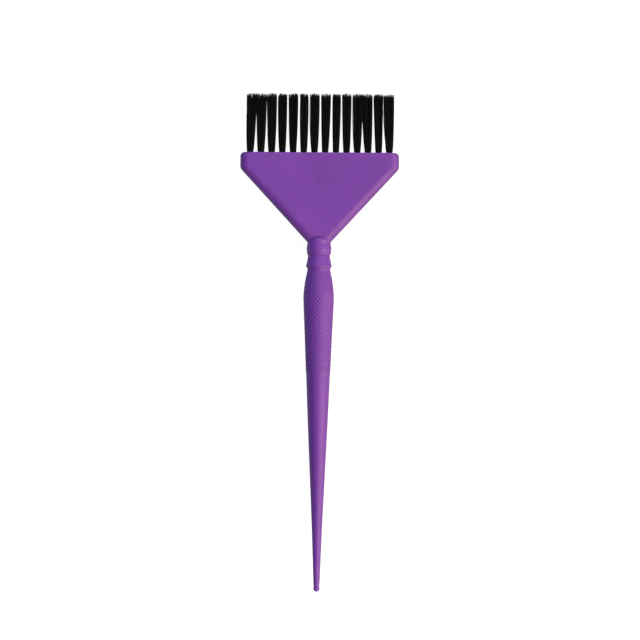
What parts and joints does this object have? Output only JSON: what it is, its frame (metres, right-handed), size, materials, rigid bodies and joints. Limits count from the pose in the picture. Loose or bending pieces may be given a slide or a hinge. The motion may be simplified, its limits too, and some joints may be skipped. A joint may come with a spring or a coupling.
{
  "type": "tint brush",
  "caption": "Wide flat tint brush: a tapered one-piece plastic handle with a fan-shaped head that holds two rows of folded bristle tufts.",
  "frame": {"origin": "middle of the bounding box's underside, so the level brush touches Z = 0 with the bulge of its grip", "axes": "+Y along the brush from the tail to the bristle tips, +X across the head, +Z out of the head's front face"},
  "size_m": [0.0658, 0.207, 0.0127],
  "materials": {
    "handle_plastic": "satin injection-moulded plastic with a fine sandblasted grain",
    "bristle": "soft nylon filament",
    "anchor_metal": "drawn flat wire"
  },
  "bodies": {
    "root": {"handle": "handle_plastic", "bristle_tuft_front_01": "bristle", "bristle_tuft_front_02": "bristle", "bristle_tuft_front_03": "bristle", "bristle_tuft_front_04": "bristle", "bristle_tuft_front_05": "bristle", "bristle_tuft_front_06": "bristle", "bristle_tuft_front_07": "bristle", "bristle_tuft_front_08": "bristle", "bristle_tuft_front_09": "bristle", "bristle_tuft_front_10": "bristle", "bristle_tuft_front_11": "bristle", "bristle_tuft_front_12": "bristle", "bristle_tuft_front_13": "bristle", "bristle_tuft_front_14": "bristle", "anchors_front_row": "anchor_metal", "bristle_tuft_back_01": "bristle", "bristle_tuft_back_02": "bristle", "bristle_tuft_back_03": "bristle", "bristle_tuft_back_04": "bristle", "bristle_tuft_back_05": "bristle", "bristle_tuft_back_06": "bristle", "bristle_tuft_back_07": "bristle", "bristle_tuft_back_08": "bristle", "bristle_tuft_back_09": "bristle", "bristle_tuft_back_10": "bristle", "bristle_tuft_back_11": "bristle", "bristle_tuft_back_12": "bristle", "bristle_tuft_back_13": "bristle", "bristle_tuft_back_14": "bristle", "anchors_back_row": "anchor_metal"}
  },
  "joints": []
}
